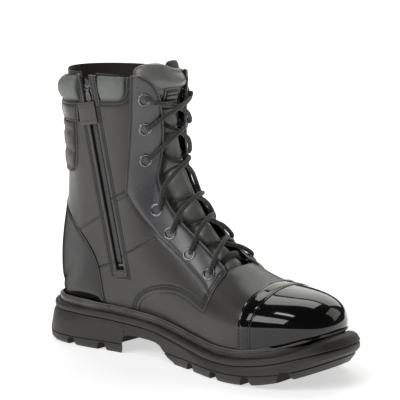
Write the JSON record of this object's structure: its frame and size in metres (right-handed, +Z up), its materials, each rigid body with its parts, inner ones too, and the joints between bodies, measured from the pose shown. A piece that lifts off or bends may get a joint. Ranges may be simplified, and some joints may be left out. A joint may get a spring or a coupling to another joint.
{
  "type": "fire boot",
  "caption": "Ankle-high black leather lace-up station boot with a side zip, glossy toe cap and heel cover, padded collar and lugged rubber sole.",
  "frame": {"origin": "on the ground under the centre of the boot's bounding box", "axes": "+X to the toe along the boot's length, +Y to the lateral (outer) side, +Z up"},
  "size_m": [0.3042, 0.1146, 0.2484],
  "materials": {
    "leather": "smooth black leather, satin",
    "patent_leather": "high-gloss patent finish",
    "soft_leather": "soft grey-black padded leather",
    "lining_fabric": "dark brushed lining",
    "rubber": "matt black moulded rubber",
    "midsole_rubber": "semi-gloss black rubber",
    "fibreboard": "brown pressed fibreboard",
    "foam": "foam covered with dark cloth",
    "stiffener": "moulded thermoplastic sheet",
    "steel": "plain sheet steel",
    "zip_tape": "woven black tape",
    "zip_coil": "black nylon coil",
    "zip_metal": "dark gunmetal",
    "eyelet": "glossy black enamel",
    "lace": "round braided cord",
    "aglet": "black plastic tip"
  },
  "bodies": {
    "boot": {"welt": "midsole_rubber", "midsole": "rubber", "outsole": "rubber", "heel_block": "rubber", "shank": "steel", "insole_board": "fibreboard", "footbed": "foam", "toe_cap": "patent_leather", "toe_cap_strip": "patent_leather", "counter_cover": "patent_leather", "vamp": "leather", "quarter_lateral": "leather", "quarter_medial_upper": "leather", "quarter_medial_rear": "leather", "quarter_medial_lower": "leather", "shaft_lateral": "leather", "shaft_medial_front": "leather", "shaft_medial_rear": "leather", "facing_upper_medial": "leather", "facing_lower_medial": "leather", "facing_upper_lateral": "leather", "facing_lower_lateral": "leather", "collar_band": "leather", "zip_end_patch": "leather", "collar_pad_rear": "soft_leather", "collar_pad_lateral": "soft_leather", "collar_pad_front": "soft_leather", "achilles_pad": "soft_leather", "tongue": "soft_leather", "toe_puff": "stiffener", "heel_stiffener": "stiffener", "lining": "lining_fabric", "eyelet_medial_1": "eyelet", "eyelet_medial_2": "eyelet", "eyelet_medial_3": "eyelet", "eyelet_medial_4": "eyelet", "eyelet_medial_5": "eyelet", "eyelet_medial_6": "eyelet", "eyelet_medial_7": "eyelet", "eyelet_lateral_1": "eyelet", "eyelet_lateral_2": "eyelet", "eyelet_lateral_3": "eyelet", "eyelet_lateral_4": "eyelet", "eyelet_lateral_5": "eyelet", "eyelet_lateral_6": "eyelet", "eyelet_lateral_7": "eyelet", "lace": "lace", "aglet_first": "aglet", "aglet_last": "aglet", "zip_tape_front": "zip_tape", "zip_tape_rear": "zip_tape", "zip_chain_front": "zip_coil", "zip_chain_rear": "zip_coil", "zip_bottom_stop": "zip_metal"},
    "slider": {"zip_slider": "zip_metal"},
    "pull": {"zip_pull": "zip_metal"},
    "tab": {"zip_tab": "leather"}
  },
  "joints": [
    {"name": "zip_slide", "type": "slide", "parent": "boot", "child": "slider", "axis": [0.1624, 0.0697, -0.9843], "range_m": [0, 0.144]},
    {"name": "zip_pull_hinge", "type": "hinge", "parent": "slider", "child": "pull", "pos_m": [-0.08442, -0.04598, 0.22659], "axis": [-0.9867, 0.0115, -0.162], "range_deg": [0, 150]},
    {"name": "zip_tab_hinge", "type": "hinge", "parent": "boot", "child": "tab", "pos_m": [-0.09258, -0.04614, 0.20466], "axis": [0.1624, 0.0697, -0.9843], "range_deg": [0, 120]}
  ]
}
